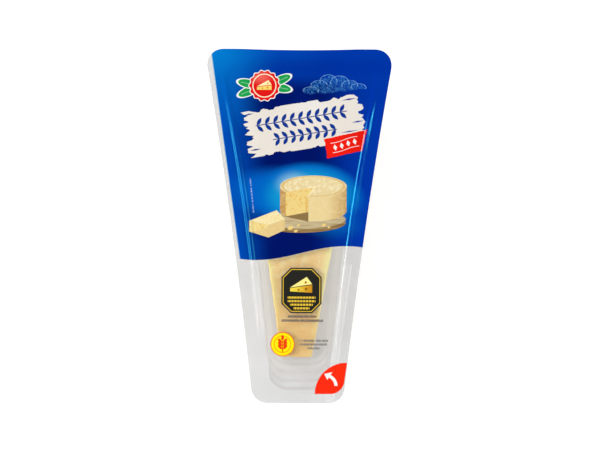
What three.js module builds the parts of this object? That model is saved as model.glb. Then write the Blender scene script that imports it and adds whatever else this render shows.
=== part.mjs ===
// A retail pack of hard cheese: a wedge with its tip cut off, lying in a thermoformed clear tray that a
// printed film closes. Millimetres, +Z up. The pack lies on the tray's floor with the film on top. +Y points
// to the wide end, where the rind is. The origin is under the middle of the pack, on the surface it lies on.
import * as THREE from "three";
import { mergeVertices } from "three/addons/utils/BufferGeometryUtils.js";

// The pack's outline: a trapezoid with round corners, whose long sides and wide end bow in a little. The
// cavity's rim bows in more than the edge does, and its middle lies a little to the right of the pack's.
const PACK = { length: 218.7, wideEnd: 117.6, narrowEnd: 55.8, corner: 10.5, sideBow: 1.9, endBow: 0.7 };
const RIM_BOW = PACK.sideBow + 3.4;
const RIM_SHIFT = 0.85;
const HALF_LENGTH = PACK.length / 2;
const END_BOW_REACH = 36; // half the stretch of the wide end that bows in

// The cheese: a sector of a round wheel, cut off near the wheel's middle. It lies slightly turned.
const CHEESE = { wheelRadius: 219, tipRadius: 59.3, halfAngle: THREE.MathUtils.degToRad(9.28), height: 28 };
const CHEESE_APEX = new THREE.Vector2(-1.83, -140.5); // the wheel's middle, past the narrow end
const CHEESE_TURN = THREE.MathUtils.degToRad(-0.93); // about that middle
const CHEESE_EDGE = 1.8; // radius of the worn edges
const CHEESE_RELIEF = 0.3; // height of the uneven grain

// The tray's walls and the film over them.
const TRAY_WALL = 0.6;
const FILM_WALL = 0.4;
const REST_GAP = 0.3; // between the cheese and the floor that it lies on
const SEAL_GAP = 0.2; // between the film and the flange that it is sealed to
const HEADROOM = 0.3; // from the cheese to the plane of the flange
const FLANGE_Z = TRAY_WALL + REST_GAP + CHEESE.height + HEADROOM; // the flange's upper face

// A raised bead runs round the cavity, inside the flat seal. It falls off steeply towards the cavity.
const BEAD = { start: 4.2, outer: 3.1, inner: 2.5, height: 0.9 };
const BEAD_WIDTH = BEAD.outer + BEAD.inner;
const BEAD_END = BEAD.start + BEAD_WIDTH;
const NARROW_SHARE = 0.7; // how wide the seal and the bead are at the narrow end, against the sides
const CAVITY_CORNER = 12;
const PILLOW = { reach: 13, height: 1.2 }; // the film's swell, and how far in from the bead it is reached

// How finely the outline is divided.
const ARC_STEPS = 7;
const SIDE_STEPS = 12;
const WIDE_STEPS = 8;
const NARROW_STEPS = 4;
const BEAD_STEPS = 6;

// Half the width of the straight trapezoid at a place along the pack.
function halfWidth(y) {
  const share = (y + HALF_LENGTH) / PACK.length;
  return THREE.MathUtils.lerp(PACK.narrowEnd, PACK.wideEnd, share) / 2;
}

const SIDE_LEAN = Math.atan2((PACK.wideEnd - PACK.narrowEnd) / 2, PACK.length);

// Bends a point of the straight trapezoid as the outline bows: the sides inwards, and the wide end too. The
// more the sides bow, up to the rim's bow, the more the point moves to the right.
function bowed(x, y, sideBow) {
  const along = y / HALF_LENGTH;
  const sideShare = x / halfWidth(y);
  const rimShare = (sideBow - PACK.sideBow) / (RIM_BOW - PACK.sideBow);
  const nearEnd = THREE.MathUtils.smoothstep(y, 0.6 * HALF_LENGTH, HALF_LENGTH);
  const endShare = Math.max(0, 1 - (x / END_BOW_REACH) ** 2);
  return new THREE.Vector2(
    x - sideBow * (1 - along * along) * sideShare + RIM_SHIFT * rimShare,
    y - PACK.endBow * endShare * nearEnd,
  );
}

// The points of one ring: the outline moved in by its own amount at the sides and at each end.
function ring({ side, wide, narrow, corner, bow }) {
  const top = HALF_LENGTH - wide;
  const low = narrow - HALF_LENGTH;
  const moved = side / Math.cos(SIDE_LEAN);
  const corners = [
    new THREE.Vector2(halfWidth(low) - moved, low),
    new THREE.Vector2(halfWidth(top) - moved, top),
    new THREE.Vector2(moved - halfWidth(top), top),
    new THREE.Vector2(moved - halfWidth(low), low),
  ];
  const steps = [SIDE_STEPS, WIDE_STEPS, SIDE_STEPS, NARROW_STEPS];
  const arcs = corners.map((at, i) => cornerArc(corners[(i + 3) % 4], at, corners[(i + 1) % 4], corner));
  const points = [];
  arcs.forEach((arc, i) => {
    const from = arc[arc.length - 1];
    const to = arcs[(i + 1) % 4][0];
    points.push(...arc);
    for (let k = 1; k < steps[i]; k++) points.push(from.clone().lerp(to, k / steps[i]));
  });
  return points.map((p) => bowed(p.x, p.y, bow));
}

// The arc that rounds a corner between two neighbours, in the order that the ring runs in.
function cornerArc(before, at, after, radius) {
  const back = before.clone().sub(at).normalize();
  const ahead = after.clone().sub(at).normalize();
  const half = Math.acos(THREE.MathUtils.clamp(back.dot(ahead), -1, 1)) / 2;
  const middle = back.clone().add(ahead).normalize().multiplyScalar(radius / Math.sin(half)).add(at);
  const first = back.clone().multiplyScalar(radius / Math.tan(half)).add(at).sub(middle);
  const turn = Math.PI - 2 * half;
  const points = [];
  for (let k = 0; k <= ARC_STEPS; k++)
    points.push(first.clone().rotateAround(new THREE.Vector2(), (turn * k) / ARC_STEPS).add(middle));
  return points;
}

// The height of the bead over the flange, at a distance in from the pack's edge.
function beadHeight(inset) {
  const past = THREE.MathUtils.clamp(inset - BEAD.start, 0, BEAD_WIDTH);
  const fromCrest = past < BEAD.outer ? 1 - past / BEAD.outer : (past - BEAD.outer) / BEAD.inner;
  return (BEAD.height * (1 + Math.cos(Math.PI * fromCrest))) / 2;
}

// A ring that is moved in by the same amount all round, and by less at the narrow end.
function evenRing(inset, z, corner = CAVITY_CORNER, bow = RIM_BOW) {
  return { side: inset, wide: inset, narrow: inset * NARROW_SHARE, corner, bow, z };
}

// The rings of the flat seal, from the pack's edge to the start of the bead.
function sealRings() {
  return [0, 0.5, 1].map((part) => {
    const corner = THREE.MathUtils.lerp(PACK.corner, CAVITY_CORNER, part);
    const bow = THREE.MathUtils.lerp(PACK.sideBow, RIM_BOW, part);
    return evenRing(part * BEAD.start, FLANGE_Z, corner, bow);
  });
}

// The rings over the bead. The last of them, at its inner foot, is left out.
function beadRings() {
  const rings = [];
  for (let k = 1; k < BEAD_STEPS; k++) {
    const inset = BEAD.start + (BEAD_WIDTH * k) / BEAD_STEPS;
    rings.push(evenRing(inset, FLANGE_Z + beadHeight(inset)));
  }
  return rings;
}

// The rings of the cavity, from the bead down to the floor. The sides and the wide end are one sloping wall,
// and the narrow end goes down in steps, to a floor that ends close to the cheese's tip.
function cavityRings() {
  const floor = TRAY_WALL;
  const depth = FLANGE_Z - floor;
  const ledges = { count: 3, tread: 3.5, rise: depth / 4, slope: 0.9, round: 0.7 };
  const rimRound = 1.6; // radius at the top of the wall
  const footRound = 2.2; // radius at the foot of the wall
  const draft = 2.3; // how far the side wall comes in from top to floor
  const wideDraft = 4.6;
  const rings = [];
  const add = (down, narrow) => {
    const share = down / depth;
    const side = BEAD_END + rimRound * 0.5 + draft * share;
    const wide = BEAD_END + rimRound * 0.5 + wideDraft * share;
    rings.push({ side, wide, narrow, corner: CAVITY_CORNER, bow: RIM_BOW, z: FLANGE_Z - down });
  };
  rings.push(evenRing(BEAD_END, FLANGE_Z - 0.3));
  let narrow = BEAD_END * NARROW_SHARE + rimRound;
  add(rimRound, narrow);
  for (let k = 1; k <= ledges.count; k++) {
    narrow += ledges.slope;
    add(k * ledges.rise - ledges.round, narrow);
    narrow += ledges.round;
    add(k * ledges.rise, narrow);
    narrow += ledges.tread - 2 * ledges.round;
    add(k * ledges.rise + 0.4, narrow);
    narrow += ledges.round;
    add(k * ledges.rise + 0.4 + ledges.round, narrow);
  }
  narrow += ledges.slope;
  add(depth - footRound, narrow);
  add(depth - footRound * 0.3, narrow + footRound * 0.3);
  const last = rings[rings.length - 1];
  rings.push({
    side: last.side + footRound * 0.8,
    wide: last.wide + footRound * 0.8,
    narrow: last.narrow + footRound * 0.8,
    corner: CAVITY_CORNER - 1,
    bow: RIM_BOW,
    z: floor,
  });
  return rings;
}

// The rings of the film inside the bead, which swells a little over the cheese.
function pillowRings() {
  const shares = [0, 0.25, 0.6, 1];
  return shares.map((share) => {
    const swell = Math.sin((share * Math.PI) / 2) * PILLOW.height;
    return evenRing(BEAD_END + PILLOW.reach * share, FLANGE_Z + swell, CAVITY_CORNER - 9 * share);
  });
}

// A thin closed shell: the rings are its upper face, and the lower face lies one wall below it.
function shellGeometry(rings, wall, lift) {
  const upper = rings.map((r) => ring(r).map((p) => new THREE.Vector3(p.x, p.y, r.z + lift + wall)));
  const count = upper[0].length;
  const last = upper.length - 1;
  const lower = upper.map((row, k) =>
    row.map((point, i) => {
      const inwards = upper[Math.min(k + 1, last)][i].clone().sub(upper[Math.max(k - 1, 0)][i]);
      const along = row[(i + 1) % count].clone().sub(row[(i + count - 1) % count]);
      const normal = k === 0 || k === last ? new THREE.Vector3(0, 0, 1) : along.cross(inwards).normalize();
      return point.clone().addScaledVector(normal, -wall);
    }),
  );
  const rows = [...upper.slice().reverse(), ...lower];
  const positions = rows.flat().flatMap((p) => [p.x, p.y, p.z]);
  const faces = [];
  for (let k = 0; k + 1 < rows.length; k++)
    for (let i = 0; i < count; i++) {
      const next = (i + 1) % count;
      const [a, b, c, d] = [k * count + i, k * count + next, (k + 1) * count + next, (k + 1) * count + i];
      faces.push(a, d, c, a, c, b);
    }
  const cap = THREE.ShapeUtils.triangulateShape(upper[last].map((p) => new THREE.Vector2(p.x, p.y)), []);
  const under = (rows.length - 1) * count;
  for (const [a, b, c] of cap) faces.push(a, b, c, under + a, under + c, under + b);
  const geometry = new THREE.BufferGeometry();
  geometry.setAttribute("position", new THREE.Float32BufferAttribute(positions, 3));
  geometry.setIndex(faces);
  return geometry;
}

// A place along a side of the cheese's block: two short steps at each end for the round edge.
function spaced(share, steps, length) {
  const k = Math.round(share * steps);
  const edge = [0, 0.4 * CHEESE_EDGE, CHEESE_EDGE];
  if (k < edge.length) return edge[k];
  if (steps - k < edge.length) return length - edge[steps - k];
  return THREE.MathUtils.lerp(CHEESE_EDGE, length - CHEESE_EDGE, (k - 2) / (steps - 4));
}

// A smooth uneven field between -1 and 1, for the grain of the cut faces.
function grain(x, y, z) {
  const coarse = Math.sin(0.21 * x + 0.13 * y + 0.4 * z) * Math.sin(0.17 * y - 0.11 * x + 1.3);
  const fine = Math.sin(0.63 * x - 0.47 * y + 0.9 * z + 2.1) * Math.sin(0.55 * y + 0.38 * x + 0.7 * z);
  return 0.6 * coarse + 0.4 * fine;
}

// The cheese, as a block that is bent into a sector and whose edges are rounded.
function cheeseGeometry() {
  const steps = { across: 10, along: 32, up: 7 };
  const block = new THREE.BoxGeometry(1, 1, 1, steps.across, steps.along, steps.up);
  block.deleteAttribute("normal");
  block.deleteAttribute("uv");
  const geometry = mergeVertices(block);
  const place = geometry.getAttribute("position");
  const reach = CHEESE.wheelRadius - CHEESE.tipRadius;
  const innerReach = { min: CHEESE.tipRadius + CHEESE_EDGE, max: CHEESE.wheelRadius - CHEESE_EDGE };
  for (let i = 0; i < place.count; i++) {
    const shares = [place.getX(i) + 0.5, place.getY(i) + 0.5, place.getZ(i) + 0.5];
    const radius = CHEESE.tipRadius + spaced(shares[1], steps.along, reach);
    const half = radius * Math.tan(CHEESE.halfAngle);
    const across = spaced(shares[0], steps.across, 2 * half) - half;
    const up = spaced(shares[2], steps.up, CHEESE.height);
    // the part of the point that stands past the block without its round edges
    const past = new THREE.Vector3(
      across - THREE.MathUtils.clamp(across, CHEESE_EDGE - half, half - CHEESE_EDGE),
      radius - THREE.MathUtils.clamp(radius, innerReach.min, innerReach.max),
      up - THREE.MathUtils.clamp(up, CHEESE_EDGE, CHEESE.height - CHEESE_EDGE),
    );
    const inner = new THREE.Vector3(across, radius, up).sub(past);
    const relief = CHEESE_RELIEF * (0.5 + 0.5 * grain(across, radius, up));
    const point = inner.add(past.setLength(CHEESE_EDGE - relief));
    // the rind follows the wheel's round edge, and the tip's cut stays straight
    const bend = point.y - Math.sqrt(Math.max(0, point.y ** 2 - point.x ** 2));
    const nearRind = THREE.MathUtils.smoothstep(point.y, CHEESE.tipRadius, CHEESE.wheelRadius);
    const plan = new THREE.Vector2(point.x, point.y - bend * nearRind);
    plan.rotateAround(new THREE.Vector2(), CHEESE_TURN).add(CHEESE_APEX);
    place.setXYZ(i, plan.x, plan.y, point.z + TRAY_WALL + REST_GAP);
  }
  return geometry;
}

function trayMesh() {
  const clear = new THREE.MeshStandardMaterial({ color: 0xdcdcda, roughness: 0.18, metalness: 0 });
  const rings = [...sealRings(), ...beadRings(), ...cavityRings()];
  const mesh = new THREE.Mesh(shellGeometry(rings, TRAY_WALL, -TRAY_WALL), clear);
  mesh.name = "tray";
  return mesh;
}

function filmMesh() {
  const printed = new THREE.MeshStandardMaterial({ color: 0x0a3fa0, roughness: 0.22, metalness: 0 });
  const rings = [...sealRings(), ...beadRings(), ...pillowRings()];
  const mesh = new THREE.Mesh(shellGeometry(rings, FILM_WALL, SEAL_GAP), printed);
  mesh.name = "lid_film";
  return mesh;
}

function cheeseMesh() {
  const paste = new THREE.MeshStandardMaterial({ color: 0xe9c98b, roughness: 0.62, metalness: 0 });
  const mesh = new THREE.Mesh(cheeseGeometry(), paste);
  mesh.name = "cheese_wedge";
  return mesh;
}

const pack = new THREE.Group();
pack.add(trayMesh(), filmMesh(), cheeseMesh());
export default pack;
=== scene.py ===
"""A sealed retail pack of hard cheese: a clear tray, the printed film that closes it, and the wedge that lies inside.

Pieces are modelled in millimetres in the pack's own frame and brought to metres when they are done: +Y runs to the
wide end, +Z out of the film, and the tray's floor lies at zero.
"""

import logging
import math
from dataclasses import dataclass, field, replace
from enum import Enum
from functools import partial, reduce
from typing import Callable, Sequence

import bmesh
import bpy
from mathutils import Matrix, Vector, noise


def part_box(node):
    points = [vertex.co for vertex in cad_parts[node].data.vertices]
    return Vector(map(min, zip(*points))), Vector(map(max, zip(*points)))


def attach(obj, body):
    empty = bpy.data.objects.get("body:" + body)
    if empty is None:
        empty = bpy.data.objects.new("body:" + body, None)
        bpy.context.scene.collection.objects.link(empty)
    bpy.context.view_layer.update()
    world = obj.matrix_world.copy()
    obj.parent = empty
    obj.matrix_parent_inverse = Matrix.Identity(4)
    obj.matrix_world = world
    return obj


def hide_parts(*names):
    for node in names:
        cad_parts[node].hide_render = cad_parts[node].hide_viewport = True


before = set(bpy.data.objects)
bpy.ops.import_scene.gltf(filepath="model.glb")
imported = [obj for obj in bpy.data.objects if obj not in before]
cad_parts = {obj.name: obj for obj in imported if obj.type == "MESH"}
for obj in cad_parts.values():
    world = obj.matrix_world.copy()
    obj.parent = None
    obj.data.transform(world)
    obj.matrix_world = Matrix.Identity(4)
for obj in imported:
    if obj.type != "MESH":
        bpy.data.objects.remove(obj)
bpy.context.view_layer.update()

LOG = logging.getLogger("pack")
MM = 0.001
Socket = bpy.types.NodeSocket


def in_mm(corner: Vector) -> Vector:
    """A corner of a CAD node's box, in millimetres."""
    return corner / MM


def smoothstep(low: float, high: float, value: float) -> float:
    """Rises smoothly from 0 to 1.

    Args:
        low: The value up to which the result is 0.
        high: The value from which the result is 1.
        value: The value that is looked up.

    Returns:
        A share from 0 to 1.
    """
    share = min(1.0, max(0.0, (value - low) / (high - low)))
    return share * share * (3.0 - 2.0 * share)


def mix(low: float, high: float, share: float) -> float:
    """The value a share of the way from low to high."""
    return low + (high - low) * share


def colour(code: str) -> tuple[float, float, float, float]:
    """Reads a display colour.

    Args:
        code: Six hexadecimal digits, red, green and blue.

    Returns:
        The colour's linear red, green and blue, and full opacity.
    """
    channels = [int(code[i : i + 2], 16) / 255.0 for i in (0, 2, 4)]
    linear = [c / 12.92 if c <= 0.04045 else ((c + 0.055) / 1.055) ** 2.4 for c in channels]
    return (linear[0], linear[1], linear[2], 1.0)


# ----------------------------------------------------------------------------------------------------------------
# The pack's plan
# ----------------------------------------------------------------------------------------------------------------


@dataclass(frozen=True)
class Ring:
    """One line round the tray or the film: the pack's outline, moved in, set at a height and lifted by the bead."""

    side: float
    wide: float
    narrow: float
    corner: float
    bow: float
    z: float
    lift: float = 0.0


@dataclass(frozen=True)
class PackForm:
    """The pack's plan in millimetres: a trapezoid with round corners, whose sides and wide end bow in a little."""

    half_length: float
    flange_z: float
    wide_half: float = 58.8
    narrow_half: float = 27.9
    corner: float = 10.5
    side_bow: float = 1.9
    rim_bow: float = 5.3
    rim_shift: float = 0.85
    end_bow: float = 0.7
    end_bow_reach: float = 36.0
    bead_start: float = 4.2
    bead_outer: float = 3.1
    bead_inner: float = 2.5
    bead_height: float = 0.9
    bead_fades: tuple[tuple[float, float, float], ...] = ((55.0, 110.0, 0.7), (-58.0, -92.0, 0.75))
    narrow_share: float = 0.7
    cavity_corner: float = 12.0

    @classmethod
    def from_frame(cls) -> "PackForm":
        """The plan that fits the tray and the film of the frame."""
        high = in_mm(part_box("tray")[1])
        return cls(half_length=high.y, flange_z=high.z - cls.bead_height)

    @property
    def bead_end(self) -> float:
        """How far the bead's inner foot is from the pack's edge."""
        return self.bead_start + self.bead_outer + self.bead_inner

    def half_width(self, y: float) -> float:
        """Half the width of the straight trapezoid at a place along the pack."""
        return mix(self.narrow_half, self.wide_half, (y + self.half_length) / (2.0 * self.half_length))

    def lean(self) -> float:
        """The angle of a long side to the pack's length."""
        return math.atan2(self.wide_half - self.narrow_half, 2.0 * self.half_length)

    def even_ring(self, inset: float, z: float, corner: float | None = None, bow: float | None = None) -> Ring:
        """A ring that is moved in by the same amount all round, and by less at the narrow end.

        Args:
            inset: How far it is moved in.
            z: Its height.
            corner: The radius of its corners, or None for the cavity's.
            bow: How far its sides bow in, or None for the rim's.

        Returns:
            The ring.
        """
        corner = self.cavity_corner if corner is None else corner
        bow = self.rim_bow if bow is None else bow
        return Ring(inset, inset, inset * self.narrow_share, corner, bow, z)

    def seal_rings(self, count: int) -> list[Ring]:
        """The rings of the flat seal, from the pack's edge to the start of the bead."""
        shares = [k / (count - 1) for k in range(count)]
        return [
            self.even_ring(
                share * self.bead_start,
                self.flange_z,
                mix(self.corner, self.cavity_corner, share),
                mix(self.side_bow, self.rim_bow, share),
            )
            for share in shares
        ]

    def bead_rings(self, count: int) -> list[Ring]:
        """The rings over the bead, without the one at its inner foot.

        Args:
            count: How many parts the bead's width is divided into.

        Returns:
            The rings, from the outer foot inwards.
        """
        rings = []
        for k in range(1, count):
            past = (self.bead_end - self.bead_start) * k / count
            outer = past < self.bead_outer
            from_crest = 1.0 - past / self.bead_outer if outer else (past - self.bead_outer) / self.bead_inner
            lift = self.bead_height * (1.0 + math.cos(math.pi * from_crest)) / 2.0
            rings.append(replace(self.even_ring(self.bead_start + past, self.flange_z), lift=lift))
        return rings

    def height_at(self, ring: Ring, y: float) -> float:
        """The height of a ring at a place along the pack: the bead is lower towards both ends."""
        lift = ring.lift
        for low, high, loss in self.bead_fades:
            lift *= 1.0 - loss * smoothstep(low, high, y)
        return ring.z + lift

    def bowed(self, point: Vector, bow: float) -> Vector:
        """Moves a point of the straight trapezoid to where the real outline has it.

        The rim of the cavity bows in more than the edge does, and lies a little to the right.

        Args:
            point: The point on the straight outline.
            bow: How far the long sides bow in at their middle.

        Returns:
            The moved point.
        """
        along = point.y / self.half_length
        side_share = point.x / self.half_width(point.y)
        rim_share = (bow - self.side_bow) / (self.rim_bow - self.side_bow)
        near_end = smoothstep(0.6 * self.half_length, self.half_length, point.y)
        end_share = max(0.0, 1.0 - (point.x / self.end_bow_reach) ** 2)
        return Vector((
            point.x - bow * (1.0 - along * along) * side_share + self.rim_shift * rim_share,
            point.y - self.end_bow * end_share * near_end,
            point.z,
        ))


# ----------------------------------------------------------------------------------------------------------------
# Working by hand, in code
# ----------------------------------------------------------------------------------------------------------------


class Bench:
    """The few handling steps that every piece is made with."""

    @staticmethod
    def clear_selection() -> None:
        """Deselects every object, the frame's own among them."""
        if bpy.context.object and bpy.context.object.mode != "OBJECT":
            bpy.ops.object.mode_set(mode="OBJECT")
        bpy.ops.object.select_all(action="DESELECT")

    @staticmethod
    def choose(piece: bpy.types.Object) -> None:
        """Makes a piece the only selected object and the active one."""
        Bench.clear_selection()
        piece.select_set(True)
        bpy.context.view_layer.objects.active = piece

    @staticmethod
    def edit(piece: bpy.types.Object) -> bmesh.types.BMesh:
        """Opens a piece in edit mode and returns its live mesh."""
        Bench.choose(piece)
        bpy.ops.object.mode_set(mode="EDIT")
        return bmesh.from_edit_mesh(piece.data)

    @staticmethod
    def pick(piece: bpy.types.Object, mode: str, wanted: Callable) -> None:
        """Selects the vertices, edges or faces of the open mesh that a test accepts.

        Args:
            piece: The piece that is open in edit mode.
            mode: VERT, EDGE or FACE.
            wanted: The test, which is given one element.
        """
        bpy.ops.mesh.select_mode(type=mode)
        bpy.ops.mesh.select_all(action="DESELECT")
        mesh = bmesh.from_edit_mesh(piece.data)
        for element in {"VERT": mesh.verts, "EDGE": mesh.edges, "FACE": mesh.faces}[mode]:
            if wanted(element):
                element.select = True
        mesh.select_flush_mode()
        bmesh.update_edit_mesh(piece.data)

    @staticmethod
    def modify(piece: bpy.types.Object, kind: str, **settings: object) -> None:
        """Adds a modifier to a piece and applies it.

        Args:
            piece: The piece.
            kind: Blender's name of the modifier.
            **settings: The modifier's settings.
        """
        Bench.choose(piece)
        modifier = piece.modifiers.new(kind.title(), kind)
        for name, value in settings.items():
            setattr(modifier, name, value)
        bpy.ops.object.modifier_apply(modifier=modifier.name)

    @staticmethod
    def finish(piece: bpy.types.Object, smooth_angle: float) -> None:
        """Brings a piece to metres, with its place in its mesh, and shades it smooth.

        Args:
            piece: The piece, modelled in millimetres.
            smooth_angle: The angle in degrees up to which an edge is smooth.
        """
        Bench.choose(piece)
        piece.data.transform(Matrix.Scale(MM, 4) @ piece.matrix_world)
        piece.matrix_world = Matrix.Identity(4)
        bpy.ops.object.shade_smooth_by_angle(angle=math.radians(smooth_angle))


@dataclass
class RingLoft:
    """A sheet that runs through a row of rings, each started as a plane and rounded, then bridged to the next."""

    form: PackForm
    arc_steps: int = 10
    side_steps: int = 44
    end_steps: int = 24
    stack_step: float = 10.0
    ring_layer: str = "ring"

    def build(self, name: str, rings: Sequence[Ring]) -> bpy.types.Object:
        """Makes the sheet.

        Args:
            name: The piece's name.
            rings: The rings from the pack's edge inwards. The last one is left open.

        Returns:
            The piece, open in edit mode.
        """
        Bench.clear_selection()
        bpy.ops.mesh.primitive_plane_add(size=2.0)
        piece = bpy.context.object
        piece.name = piece.data.name = name
        mesh = Bench.edit(piece)
        mesh.verts.layers.int.new(self.ring_layer)
        bpy.ops.mesh.select_all(action="SELECT")
        bpy.ops.mesh.delete(type="VERT")
        for number, ring in enumerate(rings, start=1):
            self._add_ring(piece, ring, number)
        for number in range(1, len(rings)):
            self._bridge(piece, number)
        mesh = bmesh.from_edit_mesh(piece.data)
        layer = mesh.verts.layers.int[self.ring_layer]
        for vert in mesh.verts:
            vert.co.z = self.form.height_at(rings[vert[layer] - 1], vert.co.y)
        bmesh.update_edit_mesh(piece.data)
        return piece

    def _add_ring(self, piece: bpy.types.Object, ring: Ring, number: int) -> None:
        """Adds one ring to the open mesh: a plane whose corners are set, rounded and bowed.

        The rings are stacked well apart until they are bridged, so that none is bridged the wrong way round.

        Args:
            piece: The piece that is open in edit mode.
            ring: The ring.
            number: Its place in the row, from 1.
        """
        bpy.ops.mesh.primitive_plane_add(size=2.0, location=(0.0, 0.0, -self.stack_step * number))
        mesh = bmesh.from_edit_mesh(piece.data)
        moved = ring.side / math.cos(self.form.lean())
        ends = {1: self.form.half_length - ring.wide, -1: ring.narrow - self.form.half_length}
        for vert in [v for v in mesh.verts if v.select]:
            y = ends[1 if vert.co.y > 0 else -1]
            vert.co.x = math.copysign(self.form.half_width(y) - moved, vert.co.x)
            vert.co.y = y
        layer = mesh.verts.layers.int[self.ring_layer]
        for end, half_angle in ((1, math.pi / 4 - self.form.lean() / 2), (-1, math.pi / 4 + self.form.lean() / 2)):
            Bench.pick(piece, "VERT", lambda v: v[layer] == 0 and abs(v.co.y - ends[end]) < 1e-4)
            bpy.ops.mesh.bevel(
                offset_type="OFFSET",
                offset=ring.corner / math.tan(half_angle),
                segments=self.arc_steps,
                affect="VERTICES",
            )
            mesh = bmesh.from_edit_mesh(piece.data)
            layer = mesh.verts.layers.int[self.ring_layer]
        Bench.pick(piece, "FACE", lambda f: True)
        bpy.ops.mesh.delete(type="ONLY_FACE")
        self._divide(piece, self.side_steps, lambda edge: abs(edge.y) > abs(edge.x))
        self._divide(piece, self.end_steps, lambda edge: abs(edge.x) > abs(edge.y))
        mesh = bmesh.from_edit_mesh(piece.data)
        layer = mesh.verts.layers.int[self.ring_layer]
        for vert in mesh.verts:
            if vert[layer] == 0:
                vert[layer] = number
                vert.co = self.form.bowed(vert.co, ring.bow)
        bmesh.update_edit_mesh(piece.data)

    def _divide(self, piece: bpy.types.Object, steps: int, runs: Callable[[Vector], bool]) -> None:
        """Divides the two longest new edges of one direction.

        Args:
            piece: The piece that is open in edit mode.
            steps: How many parts each gets.
            runs: The test of the edge's direction.
        """
        mesh = bmesh.from_edit_mesh(piece.data)
        layer = mesh.verts.layers.int[self.ring_layer]
        fresh = [e for e in mesh.edges if e.verts[0][layer] == 0 and runs(e.verts[1].co - e.verts[0].co)]
        longest = sorted(fresh, key=lambda e: e.calc_length())[-2:]
        chosen = {e.index for e in longest}
        Bench.pick(piece, "EDGE", lambda e: e.index in chosen)
        bpy.ops.mesh.subdivide(number_cuts=steps - 1)

    def _bridge(self, piece: bpy.types.Object, number: int) -> None:
        """Bridges a ring of the open mesh to the next one.

        Args:
            piece: The piece that is open in edit mode.
            number: The outer ring's place in the row.
        """
        layer = bmesh.from_edit_mesh(piece.data).verts.layers.int[self.ring_layer]

        def on_either(edge: bmesh.types.BMEdge) -> bool:
            """True on an edge that runs along one of the two rings."""
            first, second = edge.verts[0][layer], edge.verts[1][layer]
            return first == second and first in (number, number + 1)

        Bench.pick(piece, "EDGE", on_either)
        bpy.ops.mesh.bridge_edge_loops()


# ----------------------------------------------------------------------------------------------------------------
# Materials
# ----------------------------------------------------------------------------------------------------------------


class Term:
    """A number that a material's nodes work out at each place of a surface. Lengths are in millimetres."""

    def __init__(self, graph: "Graph", socket: Socket) -> None:
        """Keeps the socket and the graph that it belongs to."""
        self.graph, self.socket = graph, socket

    def __add__(self, other: "Term | float") -> "Term":
        """The sum."""
        return self.graph.math("ADD", self, other)

    def __sub__(self, other: "Term | float") -> "Term":
        """The difference."""
        return self.graph.math("SUBTRACT", self, other)

    def __rsub__(self, other: float) -> "Term":
        """The difference, with the number first."""
        return self.graph.math("SUBTRACT", other, self)

    def __mul__(self, other: "Term | float") -> "Term":
        """The product."""
        return self.graph.math("MULTIPLY", self, other)

    def __abs__(self) -> "Term":
        """The size without the sign."""
        return self.graph.math("ABSOLUTE", self)

    def __neg__(self) -> "Term":
        """The opposite number."""
        return self * -1.0

    __radd__, __rmul__ = __add__, __mul__


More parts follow.
